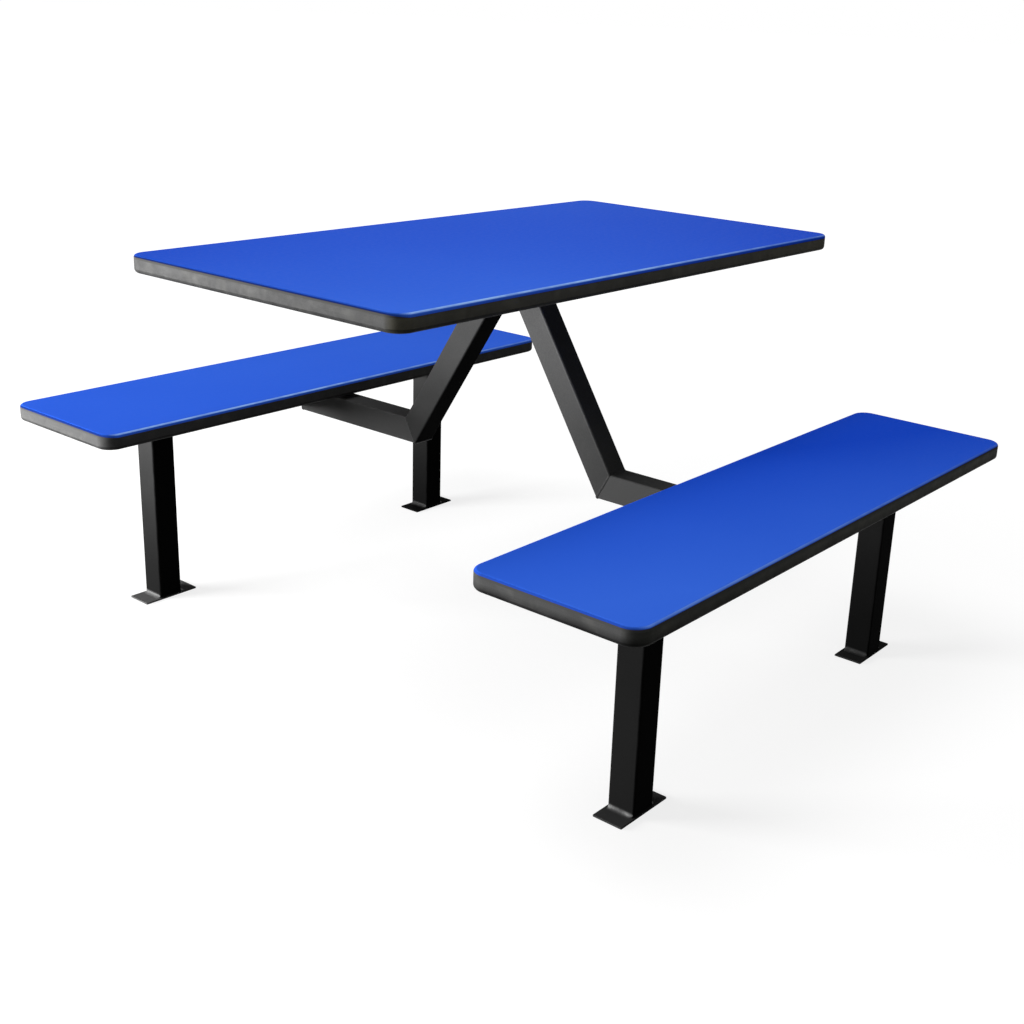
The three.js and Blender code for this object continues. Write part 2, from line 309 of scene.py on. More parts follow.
def mark_side(bm, name, outward):
    """Faces are marked by how squarely they face one way."""
    mark_faces(bm, name, lambda face: max(face.normal.dot(outward), 0.0))


def mark_lit_sides(bm):
    """The faces of a tube that point along X are marked, for painted light on those sides."""
    mark_faces(bm, "lit_side", lambda face: abs(face.normal.x))


def mark_worn_edges(bm):
    """Faces of a rounded edge are marked, so that a finish can wear there."""
    mark_faces(bm, "edge_wear_and_light", lambda face: 0.0 if max(map(abs, face.normal)) > FLAT else 1.0)


def away_from_side_lamp(face):
    """One where a turned-over edge faces the front or the right, away from the side lamp, nought at the
    left, the rear and on top. The sheet's painted highlight and painted shade follow it.
    """
    tilt = abs(face.normal.x) + abs(face.normal.y)
    if tilt <= LEVEL:
        return 0.0
    return (1 + (face.normal.x - face.normal.y) / tilt) / 2


def finish_piece(name, bm, finish, slot, *nodes):
    mesh = bpy.data.meshes.new(name)
    bm.to_mesh(mesh)
    bm.free()
    mesh.shade_smooth()
    mesh.set_sharp_from_angle(angle=SHARP_ANGLE)
    mesh.materials.append(finish)
    piece = bpy.data.objects.new(name, mesh)
    bpy.context.collection.objects.link(piece)
    even = piece.modifiers.new("even_normals", "WEIGHTED_NORMAL")
    even.keep_sharp = True
    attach(piece, BODY)
    if nodes:
        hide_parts(*nodes)


# Material helpers
def ranged_in(tree, value, *limits):
    """Maps a value from a start and an end to a low and a high, each a number or another node's output."""
    node = tree.nodes.new("ShaderNodeMapRange")
    tree.links.new(value, node.inputs["Value"])
    for socket, limit in zip(("From Min", "From Max", "To Min", "To Max"), limits):
        if isinstance(limit, bpy.types.NodeSocket):
            tree.links.new(limit, node.inputs[socket])
        else:
            node.inputs[socket].default_value = limit
    return node.outputs["Result"]


def worked_out_in(tree, operation, first, second):
    node = tree.nodes.new("ShaderNodeMath")
    node.operation = operation
    tree.links.new(first, node.inputs[0])
    tree.links.new(second, node.inputs[1])
    return node.outputs["Value"]


class Finish:
    """A material whose patterns read Object coordinates, in metres."""

    def __init__(self, name):
        self.material = bpy.data.materials.new(name)
        self.material.use_nodes = True
        self.tree = self.material.node_tree
        self.shader = self.tree.nodes["Principled BSDF"]
        self.place = self.tree.nodes.new("ShaderNodeTexCoord").outputs["Object"]

    def join(self, source, target):
        self.tree.links.new(source, target)

    def stretched(self, across):
        mapping = self.tree.nodes.new("ShaderNodeMapping")
        mapping.inputs["Scale"].default_value = across
        self.join(self.place, mapping.inputs["Vector"])
        return mapping.outputs["Vector"]

    def noise(self, scale, detail=2.0, across=None):
        node = self.tree.nodes.new("ShaderNodeTexNoise")
        node.inputs["Scale"].default_value = scale
        node.inputs["Detail"].default_value = detail
        self.join(self.stretched(across) if across else self.place, node.inputs["Vector"])
        return node.outputs["Fac"]

    def cells(self, scale):
        node = self.tree.nodes.new("ShaderNodeTexVoronoi")
        node.inputs["Scale"].default_value = scale
        self.join(self.place, node.inputs["Vector"])
        return node.outputs["Color"]

    def ranged(self, value, start, end, low=0.0, high=1.0):
        return ranged_in(self.tree, value, start, end, low, high)

    def pattern(self, scale, detail=2.0, spread=NOISE_SPREAD, amounts=(0.0, 1.0), across=None):
        """Noise that runs from the first amount to the second over the spread of its values."""
        return self.ranged(self.noise(scale, detail, across), *spread, *amounts)

    def times(self, first, *others):
        product = first
        for other in others:
            product = worked_out_in(self.tree, "MULTIPLY", product, other)
        return product

    def minus(self, first, second):
        return worked_out_in(self.tree, "SUBTRACT", first, second)

    def along(self, axis):
        node = self.tree.nodes.new("ShaderNodeSeparateXYZ")
        self.join(self.place, node.inputs["Vector"])
        return node.outputs[axis]

    def marked(self, name):
        node = self.tree.nodes.new("ShaderNodeAttribute")
        node.attribute_name = name
        return node.outputs["Fac"]

    def blend(self, amount, first, second):
        """Mixes two colours, each a plain colour or another node's output."""
        node = self.tree.nodes.new("ShaderNodeMix")
        node.data_type = "RGBA"
        self.join(amount, node.inputs["Factor"])
        for number, colour in ((MIX_FIRST, first), (MIX_SECOND, second)):
            if isinstance(colour, tuple):
                node.inputs[number].default_value = (*colour, 1.0)
            else:
                self.join(colour, node.inputs[number])
        return node.outputs[MIX_RESULT]

    def tinted(self, amount, colour, tint):
        """Multiplies a colour by a tint, by as much as the amount says."""
        tinted = self.blend(amount, colour, tint)
        tinted.node.blend_type = "MULTIPLY"
        return tinted

    def colour(self, output):
        self.join(output, self.shader.inputs["Base Color"])

    def roughness(self, output):
        self.join(output, self.shader.inputs["Roughness"])

    def bump(self, height, strength, distance):
        node = self.tree.nodes.new("ShaderNodeBump")
        node.inputs["Strength"].default_value = strength
        node.inputs["Distance"].default_value = distance
        self.join(height, node.inputs["Height"])
        self.join(node.outputs["Normal"], self.shader.inputs["Normal"])

    def gloss(self, level):
        self.shader.inputs["Specular IOR Level"].default_value = level

    def metal(self):
        self.shader.inputs["Metallic"].default_value = 1.0


# Finishes of the boards
def speckled_blue(finish, board, low, high):
    """Laminate with painted light and shade along and across the board, with a fine speckle."""
    # Painted light and shade: the blue runs from its shaded to its lit tone across the board
    length = finish.along("X")
    lit_front = finish.ranged(length, low.x, high.x, *LIT_SHARE_FRONT[board])
    lit_rear = finish.ranged(length, low.x, high.x, *LIT_SHARE_REAR[board])
    lit_share = finish.ranged(finish.along("Y"), low.y, high.y, lit_front, lit_rear)
    cloud = finish.pattern(scale=2.5, amounts=(0.85, 1.0))
    plain_blue = finish.blend(finish.times(lit_share, cloud), SHADED_BLUE, LIT_BLUE)
    speckle = finish.pattern(scale=900, detail=3.0, spread=RIPPLE_SPREAD, amounts=(0.0, 0.08))
    return finish.blend(speckle, plain_blue, SPECK_BLUE)


def painted_highlight(finish, board, top, away_from_lamp):
    """Painted highlight on the turned-over edge: in streaks, and most towards the left."""
    height = finish.along("Z")
    below_face = finish.ranged(height, top - HIGHLIGHT_FULL, top - HIGHLIGHT_STARTS, 1.0, 0.0)
    above_turn = finish.ranged(height, top - HIGHLIGHT_ENDS, top - HIGHLIGHT_FADES, 0.0, EDGE_SHINE[board])
    streaks = finish.pattern(scale=30, detail=4.0, spread=(0.35, 0.6), amounts=(0.6, 1.0))
    fading = finish.ranged(finish.along("X"), HIGHLIGHT_BRIGHT_X, HIGHLIGHT_FAINT_X, 1.0, HIGHLIGHT_FAINT)
    highlight_side = finish.ranged(away_from_lamp, *HIGHLIGHT_AWAY)
    return finish.times(below_face, above_turn, streaks, fading, highlight_side)


def blue_sheet(board, low, high):
    """Hard blue laminate: a painted highlight line where the edges at the front and right turn over, a
    deeper blue of painted shade at the other edges, which face the side lamp, and a dark sealed edge above
    the band."""
    finish = Finish(f"{board}_blue")
    top = high.z
    height = finish.along("Z")
    away_from_lamp = finish.marked("edge_wear_and_light")
    blue = speckled_blue(finish, board, low, high)
    # Painted highlight on the turned-over edges that face away from the side lamp
    highlighted_blue = finish.blend(painted_highlight(finish, board, top, away_from_lamp), blue, HIGHLIGHT_BLUE)
    # Painted shade on the turned-over edges that face the side lamp
    dull_and_shade = finish.ranged(away_from_lamp, *SHADE_AWAY, 1.0, 0.0)
    upper_blue, lower_blue = (scaled(END_BLUE, shade) for shade in END_SHADE[board])
    on_turn = finish.ranged(height, top - UPPER_FULL, top - UPPER_STARTS, 1.0, 0.0)
    turned_blue = finish.blend(finish.times(on_turn, dull_and_shade), highlighted_blue, upper_blue)
    under_turn = finish.ranged(height, top - LOWER_FULL, top - LOWER_STARTS, 1.0, 0.0)
    end_blue = finish.blend(finish.times(under_turn, dull_and_shade), turned_blue, lower_blue)
    lamp_side_depth, away_side_depth = BLUE_DEPTH[board]
    blue_line = finish.ranged(away_from_lamp, *DEPTH_AWAY, top - lamp_side_depth, top - away_side_depth)
    below_line = finish.minus(blue_line, height)
    sealed = finish.blend(finish.ranged(below_line, SEAL_FULL, SEAL_ENDS), SEAL_BROWN, SEAL_BLACK)
    finish.colour(finish.blend(finish.ranged(below_line, 0.0, SEAL_FULL), end_blue, sealed))
    finish.roughness(finish.pattern(scale=120, detail=4.0, amounts=(0.34, 0.46)))
    finish.bump(finish.noise(scale=1400), strength=0.05, distance=0.2 * MM)
    finish.gloss(SHEET_GLOSS)
    return finish.material


def edge_band(board, bottom):
    """Black plastic band, mottled by handling; painted shade on its lower edge, low down and at the rear,
    painted light and shade on its front.
    """
    finish = Finish(f"{board}_band_black")
    black = finish.blend(finish.pattern(scale=700), *BAND_BLACKS)
    pale = finish.pattern(scale=26, detail=3.0, spread=(0.5, 0.68), amounts=(0.0, 0.45))
    paled = finish.blend(pale, black, BAND_PALE)
    dull_and_shade = finish.pattern(scale=17, spread=(0.32, 0.5), amounts=(0.4, 0.0), across=(1.0, 1.0, 0.6))
    dulled = finish.blend(dull_and_shade, paled, BAND_DULL)
    scuffs = finish.pattern(scale=14, detail=5.0, spread=(0.6, 0.8), amounts=(0.0, 0.4), across=(1, 1, 30))
    scuffed = finish.blend(scuffs, dulled, BAND_SCUFF)
    # Painted shade on the rounded lower edge, in patches
    wear_and_light_patches = finish.pattern(scale=60, detail=3.0, amounts=(0.4, 0.9))
    edge_shaded = finish.blend(finish.times(finish.marked("edge_wear_and_light"), wear_and_light_patches), scuffed, BAND_EDGE_SHADE)
    height = finish.along("Z")
    # Painted shade on the lower part of the band, in patches
    low_down = finish.ranged(height, bottom + LOW_SHADE_FULL, bottom + LOW_SHADE_ENDS, BAND_LOW_SHADE[board], 0.0)
    low_shade_patches = finish.pattern(scale=24, detail=3.0, spread=(0.35, 0.6), amounts=(0.6, 1.0))
    low_shaded = finish.blend(finish.times(low_down, low_shade_patches), edge_shaded, LOW_SHADE_BLACK)
    # Painted shade on the rear side, which faces the side lamp
    rear_shade = finish.ranged(finish.marked("rear_side"), 0.0, 1.0, 0.0, BAND_REAR_SHARE)
    black_rear = finish.blend(rear_shade, low_shaded, BAND_REAR_SHADE)
    # Painted light and shade on the side that faces the front
    finish.colour(finish.tinted(finish.marked("front_side"), black_rear, BAND_FRONT_TINT[board]))
    finish.roughness(finish.pattern(scale=90, detail=4.0, amounts=(0.42, 0.58)))
    finish.bump(finish.noise(scale=900), strength=0.08, distance=0.2 * MM)
    finish.gloss(BAND_GLOSS)
    return finish.material


def backing_sheet():
    """Pale grey balancing sheet with faint fibres."""
    finish = Finish("backing_sheet_grey")
    fibres = finish.pattern(scale=90, detail=4.0, spread=RIPPLE_SPREAD, across=(1, 8, 1))
    cloud = finish.pattern(scale=6, detail=3.0, spread=RIPPLE_SPREAD, amounts=(0.0, 0.5))
    finish.colour(finish.blend(cloud, finish.blend(fibres, *BACKING_GREYS), BACKING_CLOUD))
    finish.roughness(finish.pattern(scale=150, detail=3.0, amounts=(0.5, 0.65)))
    finish.bump(finish.noise(scale=800), strength=0.1, distance=0.2 * MM)
    return finish.material


def board_core():
    """Pressed wood chips."""
    finish = Finish("board_core_chips")
    chips = finish.ranged(finish.cells(scale=260), 0.1, 0.9)
    cloud = finish.pattern(scale=20, detail=3.0, amounts=(0.0, 0.4))
    finish.colour(finish.blend(cloud, finish.blend(chips, *CHIP_BROWNS), CHIP_CLOUD))
    finish.roughness(finish.pattern(scale=200, detail=3.0, amounts=(0.7, 0.9)))
    finish.bump(chips, strength=0.3, distance=0.5 * MM)
    return finish.material


# Finishes of the frame
def frame_paint(name, blacks, sides=None, front_shade=None, top_shade=None):
    """Black baked paint with a soft ripple, thinner and paler on the tube's rounded edges. Where two paler
    blacks are given, the marked sides get painted light: the first black is at the knee, the second at the
    top.
    Where a front shade is given, the side that faces the front is that many times as pale, as painted light
    and shade. Where a top shade is given, the sides of a leg grow paler upwards as painted light, to that
    many times at the seat."""
    finish = Finish(name)
    black, rubbed_black, dusty_black = blacks
    base = black
    if sides:
        # Painted light on the sides, paler towards the top
        up_diagonal = finish.ranged(finish.along("Z"), ARM_HIGH.z, SPINE_BOTTOM_Z)
        base = finish.blend(finish.marked("lit_side"), black, finish.blend(up_diagonal, *sides))
    grain = finish.pattern(scale=450, detail=3.0, amounts=(0.0, 0.3))
    grained = finish.blend(grain, base, dusty_black)
    dust = finish.pattern(scale=5, detail=4.0, spread=(0.45, 0.75), amounts=(0.0, 0.5))
    dusted = finish.blend(dust, grained, dusty_black)
    wear_and_light_patches = finish.pattern(scale=35, detail=4.0, spread=(0.42, 0.7), amounts=(0.0, 0.5))
    painted = finish.blend(finish.times(finish.marked("edge_wear_and_light"), wear_and_light_patches), dusted, rubbed_black)
    # Painted light on the leg's sides, growing towards the seat
    if top_shade:
        up_leg = finish.ranged(finish.along("Z"), 0.0, LEG_TOP_Z)
        paler = finish.times(up_leg, up_leg, finish.marked("lit_side"))
        painted = finish.tinted(paler, painted, grey(top_shade))
    # Painted light and shade on the side that faces the front
    if front_shade:
        painted = finish.tinted(finish.marked("front_side"), painted, grey(front_shade))
    finish.colour(painted)
    finish.roughness(finish.pattern(scale=140, detail=3.0, amounts=(0.36, 0.52)))
    finish.bump(finish.noise(scale=260), strength=0.1, distance=0.4 * MM)
    finish.gloss(PAINT_GLOSS)
    return finish.material


def leg_paint(place):
    # Lit and shaded copies of the leg paint, one for each leg
    blacks = shades_of(FRAME_BLACKS, LEG_SHADE[place])
    return frame_paint(f"{place}_leg_paint", blacks,
                       front_shade=LEG_FRONT_SHADE[place], top_shade=LEG_TOP_SHADE[place])


def foot_paint(place):
    # Lit and shaded copies of the foot plate paint, one for each foot
    return frame_paint(f"{place}_foot_paint", shades_of(LIT_BLACKS, FOOT_SHADE[place]))


def diagonal_paint(side):
    # Painted light on the diagonal's sides and front, and painted shade on the rear diagonal's front
    return frame_paint(f"{side}_diagonal_paint", DIAGONAL_BLACKS,
                       sides=DIAGONAL_SIDES[side], front_shade=DIAGONAL_FRONT_SHADE[side])


def foot_weld_paint(place):
    """Paint over a foot's welds: a painted highlight along the middle of the hollow, as bright as each foot
    is lit, and as black as the foot plate and the leg at its two edges."""
    finish = Finish(f"{place}_weld_paint")
    ripple = finish.noise(scale=320, detail=3.0)
    height = finish.along("Z")
    # Painted highlight along the middle of the weld
    above_plate = finish.ranged(height, FOOT_TOP_Z + WELD_HIGHLIGHT_STARTS, FOOT_TOP_Z + WELD_HIGHLIGHT_FULL)
    below_leg = finish.ranged(height, FOOT_TOP_Z + WELD_HIGHLIGHT_FADES, FOOT_TOP_Z + WELD_HIGHLIGHT_ENDS, 1.0, 0.0)
    wear_and_light_patches = finish.pattern(scale=55, spread=(0.35, 0.6), amounts=(0.35, 1.0))
    highlight_greys = shades_of(WELD_HIGHLIGHT_GREYS, WELD_SHADE[place])
    highlight_grey = finish.blend(finish.ranged(ripple, *RIPPLE_SPREAD), *highlight_greys)
    plate_black = scaled(LIT_BLACKS[0], FOOT_SHADE[place])
    leg_black = scaled(FRAME_BLACKS[0], LEG_SHADE[place])
    up_weld = finish.ranged(height, FOOT_TOP_Z, FOOT_TOP_Z + WELD_LEG_BLACK)
    black = finish.blend(up_weld, plate_black, leg_black)
    finish.colour(finish.blend(finish.times(above_plate, below_leg, wear_and_light_patches), black, highlight_grey))
    finish.roughness(finish.pattern(scale=200, amounts=(0.35, 0.5)))
    finish.bump(ripple, strength=0.3, distance=0.4 * MM)
    finish.gloss(WELD_GLOSS)
    return finish.material


def seam_paint():
    """Paint over the tube seams: black with the bead's ripples."""
    finish = Finish("seam_paint")
    ripple = finish.noise(scale=320, detail=3.0)
    finish.colour(finish.blend(finish.ranged(ripple, *RIPPLE_SPREAD), *SEAM_BLACKS))
    finish.roughness(finish.pattern(scale=200, amounts=(0.3, 0.45)))
    finish.bump(ripple, strength=0.4, distance=0.6 * MM)
    finish.gloss(SEAM_GLOSS)
    return finish.material


def zinc():
    """Zinc plate on the screws, dulled in patches."""
    finish = Finish("screw_zinc")
    finish.colour(finish.blend(finish.pattern(scale=500, detail=4.0), *ZINC_GREYS))
    finish.roughness(finish.pattern(scale=900, detail=3.0, amounts=(0.28, 0.48)))
    finish.bump(finish.noise(scale=1500), strength=0.1, distance=0.1 * MM)
    finish.metal()
    return finish.material


def plug_plastic():
    """Black moulded plastic with a fine eroded grain."""
    finish = Finish("plug_plastic_black")
    grain = finish.pattern(scale=1100)
    black = finish.blend(grain, *PLUG_BLACKS)
    wear_and_light_patches = finish.pattern(scale=120, detail=3.0, spread=(0.4, 0.7), amounts=(0.0, 0.5))
    rubbed = finish.times(finish.marked("edge_wear_and_light"), wear_and_light_patches)
    finish.colour(finish.blend(rubbed, black, PLUG_RUBBED))
    finish.roughness(finish.pattern(scale=300, detail=3.0, amounts=(0.5, 0.65)))
    finish.bump(grain, strength=0.15, distance=0.2 * MM)
    finish.gloss(PLUG_GLOSS)
    return finish.material


FRAME_FINISH = frame_paint("frame_paint_black", FRAME_BLACKS)
# Paler black paint, painted light, for the arms
LIT_FINISH = frame_paint("frame_paint_lit", LIT_BLACKS)
SEAM_FINISH = seam_paint()
BACKING_FINISH = backing_sheet()
CORE_FINISH = board_core()
ZINC_FINISH = zinc()
PLUG_FINISH = plug_plastic()


# Boards
def sheet(board):
    node = f"{board}_sheet"
    low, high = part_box(node)
    bm = rounded_block(low, high, (CORNER_RADIUS, CORNER_STEPS), high.z, (SHEET_ROUND, SHEET_STEPS))
    # The turned-over edges are marked by how far they face away from the side lamp, for painted highlight
    # and shade
    mark_faces(bm, "edge_wear_and_light", away_from_side_lamp)
    finish_piece(f"{board}_blue_sheet", bm, blue_sheet(board, low, high), "blue_sheet", node)


def mark_band(bm, round_top):
    """Only the rounded lower edge is marked, for painted shade, not the round corners; front and rear are
    marked as sides.
    """
    mark_faces(bm, "edge_wear_and_light", lambda face: 1.0 if face.calc_center_median().z < round_top else 0.0)
    mark_side(bm, "front_side", FRONT)
    mark_side(bm, "rear_side", REAR)


def band(board):
    """A ring: a rounded block, cut open inside through its top and bottom faces."""
    node = f"{board}_edge_band"
    low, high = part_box(node)
    bm = rounded_block(low, high, (CORNER_RADIUS, CORNER_STEPS), low.z, (BAND_ROUND, BAND_STEPS))
    caps = sorted(faces_facing(bm, Z_AXIS), key=lambda face: face.calc_center_median().z)
    for cap, width in zip(caps, (BAND_THICKNESS - BAND_ROUND, BAND_THICKNESS)):
        bmesh.ops.inset_region(bm, faces=[cap], thickness=width, use_even_offset=True)
    inner_rims = [edge for cap in caps for edge in cap.edges]
    bmesh.ops.delete(bm, geom=caps, context="FACES_ONLY")
    bmesh.ops.bridge_loops(bm, edges=inner_rims)
    bmesh.ops.recalc_face_normals(bm, faces=bm.faces)
    mark_band(bm, low.z + BAND_ROUND)
    finish_piece(f"{board}_band", bm, edge_band(board, low.z), "edge_band", node)


def dress_node(node, finish):
    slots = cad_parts[node].data.materials
    slots.clear()
    slots.append(finish)


def board_parts(board):
    sheet(board)
    band(board)
    dress_node(f"{board}_core", CORE_FINISH)
    dress_node(f"{board}_backing", BACKING_FINISH)


# Tubes of the frame
def tube_skin(low, high, axis):
    """The outer skin of a square tube with rounded corners and open ends."""
    bm = block(low, high)
    round_edges(bm, edges_along(bm, axis), TUBE_ROUND, TUBE_STEPS)
    bmesh.ops.delete(bm, geom=faces_facing(bm, axis), context="FACES_ONLY")
    mark_worn_edges(bm)
    return bm


def finish_tube(node, bm, finish):
    mark_lit_sides(bm)
    mark_side(bm, "front_side", FRONT)
    bmesh.ops.solidify(bm, geom=bm.faces[:], thickness=TUBE_WALL)
    finish_piece(f"{node}_tube", bm, finish, "frame_paint", node)


def straight_tube(node, axis, finish):
    low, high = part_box(node)
    finish_tube(node, tube_skin(low, high, axis), finish)


def cut_away(bm, point, outward):
    geometry = bm.verts[:] + bm.edges[:] + bm.faces[:]
    bmesh.ops.bisect_plane(bm, geom=geometry, plane_co=point, plane_no=outward, clear_outer=True)


def knee_plane():
    """The mitre of the front arm and the front diagonal: its middle, and the way from arm to diagonal."""
    half = DIAGONAL_ANGLE / 2
    return Vector((0, -KNEE_AXIS_Y, ARM_CENTRE_Z)), Vector((0, math.cos(half), math.sin(half)))


def turn_to_side(bm, side):
    """Front pieces are made in place; rear ones are the same, turned half round."""
    if side == "rear":
        turn(bm, math.pi, "Z")


def arm(side):
    half = TUBE / 2
    stock_low = Vector((-half, ARM_LOW.y, ARM_CENTRE_Z - half))
    stock_high = Vector((half, -KNEE_AXIS_Y + KNEE_OVERRUN, ARM_CENTRE_Z + half))
    bm = tube_skin(stock_low, stock_high, Y_AXIS)
    middle, onward = knee_plane()
    cut_away(bm, middle, onward)
    turn_to_side(bm, side)
    finish_tube(f"{side}_arm", bm, LIT_FINISH)


def diagonal(side):
    """An upright tube is leaned over, and cut at the knee, at the middle plane and under the table."""
    half = TUBE / 2
    bm = tube_skin(Vector((-half, -half, -KNEE_OVERRUN)), Vector((half, half, DIAGONAL_STOCK)), Z_AXIS)
    turn(bm, DIAGONAL_ANGLE - math.pi / 2, "X")
    middle, onward = knee_plane()
    bmesh.ops.translate(bm, vec=middle, verts=bm.verts)
    cut_away(bm, middle, -onward)
    cut_away(bm, ORIGIN, REAR)
    cut_away(bm, Vector((0, 0, DIAGONAL_TOP_Z)), UP)
    turn_to_side(bm, side)
    finish_tube(f"{side}_diagonal", bm, diagonal_paint(side))


# Feet and welds
def foot_plate(place):
    node = f"{place}_foot"
    low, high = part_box(node)
    bm = rounded_block(low, high, (FOOT_CORNER, SMALL_STEPS), high.z, (FOOT_EDGE, SMALL_STEPS))
    mark_worn_edges(bm)
    finish_piece(f"{node}_plate", bm, foot_paint(place), "frame_paint", node)


def hollow_profile(bm, corner, out, radius):
    """The face of a hollow fillet between an upright and a plate, from its corner outwards."""
    start = bm.verts.new(corner + UP * radius)
    centre = corner + (out + UP) * radius
    bmesh.ops.spin(bm, geom=[start], cent=centre, axis=out.cross(UP), angle=math.pi / 2, steps=WELD_STEPS)
    end = max(bm.verts, key=lambda vert: (vert.co - corner).dot(out))
    root = bm.verts.new(corner)
    bm.edges.new((end, root))
    bm.edges.new((root, start))
    bmesh.ops.contextual_create(bm, geom=bm.edges[:])
    return bm.faces[:]


def grow(bm, verts, centre, amount):
    bmesh.ops.scale(bm, vec=Vector.Fill(3, amount), space=Matrix.Translation(-centre), verts=verts)


def fillet(name, first, last, out, radius, finish):
    """A hollow weld along a straight corner, drawn in at both its ends."""
    bm = bmesh.new()
    run_out = (last - first).normalized() * WELD_RUN_OUT
    places = (first, first + run_out, last - run_out, last)
    sizes = (WELD_TAPER, 1.0, 1.0, WELD_TAPER)
    faces = hollow_profile(bm, first, out, radius)
    grow(bm, bm.verts, first, sizes[0])
    for i in range(1, len(places)):
        made = bmesh.ops.extrude_face_region(bm, geom=faces)["geom"]
        if i > 1:
            bmesh.ops.delete(bm, geom=faces, context="FACES_ONLY")
        faces = of_kind(bmesh.types.BMFace, made)
        verts = of_kind(bmesh.types.BMVert, made)
        bmesh.ops.translate(bm, vec=places[i] - places[i - 1], verts=verts)
        grow(bm, verts, places[i], sizes[i] / sizes[i - 1])
    bmesh.ops.recalc_face_normals(bm, faces=bm.faces)
    finish_piece(name, bm, finish, "frame_paint")


def foot_welds(place):
    """Fillets where the leg stands on its plate: wide ones at the plate's long ends, small ones beside."""
    low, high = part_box(f"{place}_leg")
    weld = f"{place}_foot_weld"
    inset = TUBE_ROUND / 2
    end_finish = foot_weld_paint(place)
    for end, x, sign in (("left", low.x, -1), ("right", high.x, 1)):
        first = Vector((x, low.y + inset, FOOT_TOP_Z))
        last = Vector((x, high.y - inset, FOOT_TOP_Z))
        fillet(f"{weld}_{end}", first, last, Vector((sign, 0, 0)), FOOT_END_WELD, end_finish)
    for side, y, sign in (("front", low.y, -1), ("rear", high.y, 1)):
        first = Vector((low.x + inset, y, FOOT_TOP_Z))
        last = Vector((high.x - inset, y, FOOT_TOP_Z))
        fillet(f"{weld}_{side}", first, last, Vector((0, sign, 0)), FOOT_SIDE_WELD, FRAME_FINISH)


def crowned_ring(low, high, axis):
    """A low bead of weld round a tube, highest along its middle."""
    bm = tube_skin(low, high, axis)
    bmesh.ops.subdivide_edges(bm, edges=edges_along(bm, axis), cuts=SEAM_STEPS, use_grid_fill=True)
    bm.normal_update()
    middle = (low[axis] + high[axis]) / 2
    for vert in bm.verts:
        share = (vert.co[axis] - middle) / (SEAM_WIDTH / 2)
        outward = vert.normal.copy()
        outward[axis] = 0
        vert.co += outward.normalized() * SEAM_RISE * (1 - share * share)
    bmesh.ops.solidify(bm, geom=bm.faces[:], thickness=SEAM_DEPTH)
    return bm


def end_seam(node, axis, end):
    """The weld round one end of a straight tube."""
    low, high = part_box(node)
    if end == LOW_END:
        high[axis] = low[axis] + SEAM_WIDTH
        end_name = "low"
    else:
        low[axis] = high[axis] - SEAM_WIDTH
        end_name = "high"
    finish_piece(f"{node}_{end_name}_seam", crowned_ring(low, high, axis), SEAM_FINISH, "frame_paint")


def knee_seam(side):
    """The weld round the mitre of an arm and its diagonal, which cuts the tube at a slant."""
    half_height = TUBE / 2 / math.cos(DIAGONAL_ANGLE / 2)
    corner = Vector((TUBE / 2, half_height, SEAM_WIDTH / 2))
    bm = crowned_ring(-corner, corner, Z_AXIS)
    turn(bm, (DIAGONAL_ANGLE - math.pi) / 2, "X")
    bmesh.ops.translate(bm, vec=knee_plane()[0], verts=bm.verts)
    turn_to_side(bm, side)
    finish_piece(f"{side}_knee_seam", bm, SEAM_FINISH, "frame_paint")


# Bearers, plugs and screws
def bearer(node):
    low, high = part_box(node)
    bm = rounded_block(low, high, (BEARER_ROUND, SMALL_STEPS), low.z, (BEARER_ROUND / 2, SMALL_STEPS))
    mark_worn_edges(bm)
    finish_piece(f"{node}_bar", bm, FRAME_FINISH, "frame_paint", node)


def plug(node):
    """Cap and stem of a push-in plug; the cap's rim is rounded."""
    low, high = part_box(node)
    outer_x, inward = (low.x, 1) if low.x < 0 else (high.x, -1)
    inner_x = outer_x + inward * PLUG_CAP
    cap_low = Vector((min(outer_x, inner_x), low.y, low.z))
    cap_high = Vector((max(outer_x, inner_x), high.y, high.z))
    bm = block(cap_low, cap_high)
    round_edges(bm, edges_along(bm, X_AXIS), TUBE_ROUND, SMALL_STEPS)
    round_edges(bm, edges_at(bm, X_AXIS, outer_x), PLUG_EDGE, SMALL_STEPS)
    inner = [face for face in faces_facing(bm, X_AXIS)
             if abs(face.calc_center_median().x - outer_x) > PLUG_CAP / 2]
    bmesh.ops.inset_region(bm, faces=inner, thickness=TUBE_WALL + PLUG_CLEARANCE, use_even_offset=True)
    stem = bmesh.ops.extrude_face_region(bm, geom=inner)["geom"]
    bmesh.ops.delete(bm, geom=inner, context="FACES_ONLY")
    depth = inward * (high.x - low.x - PLUG_CAP)
    bmesh.ops.translate(bm, vec=(depth, 0, 0), verts=of_kind(bmesh.types.BMVert, stem))
    bmesh.ops.recalc_face_normals(bm, faces=bm.faces)
    mark_worn_edges(bm)
    finish_piece(f"{node}_cap", bm, PLUG_FINISH, "tube_plug", node)


def screw_recess(bm, axis):
    """Sinks the flat end of the head, whose rim is drawn in between the lobes."""
    end = min(bm.faces, key=lambda face: face.calc_center_median().z)
    facets_per_lobe = SCREW_FACETS // SCREW_LOBES
    for vert in end.verts:
        out = vert.co - axis
        facet = round(math.atan2(out.y, out.x) / math.tau * SCREW_FACETS)
        if facet % facets_per_lobe == facets_per_lobe // 2:
            vert.co.x = axis.x + out.x * LOBE_DRAW_IN
            vert.co.y = axis.y + out.y * LOBE_DRAW_IN
    sunk = bmesh.ops.extrude_face_region(bm, geom=[end])["geom"]
    bmesh.ops.delete(bm, geom=[end], context="FACES_ONLY")
    bmesh.ops.translate(bm, vec=(0, 0, SCREW_RECESS_DEPTH), verts=of_kind(bmesh.types.BMVert, sunk))


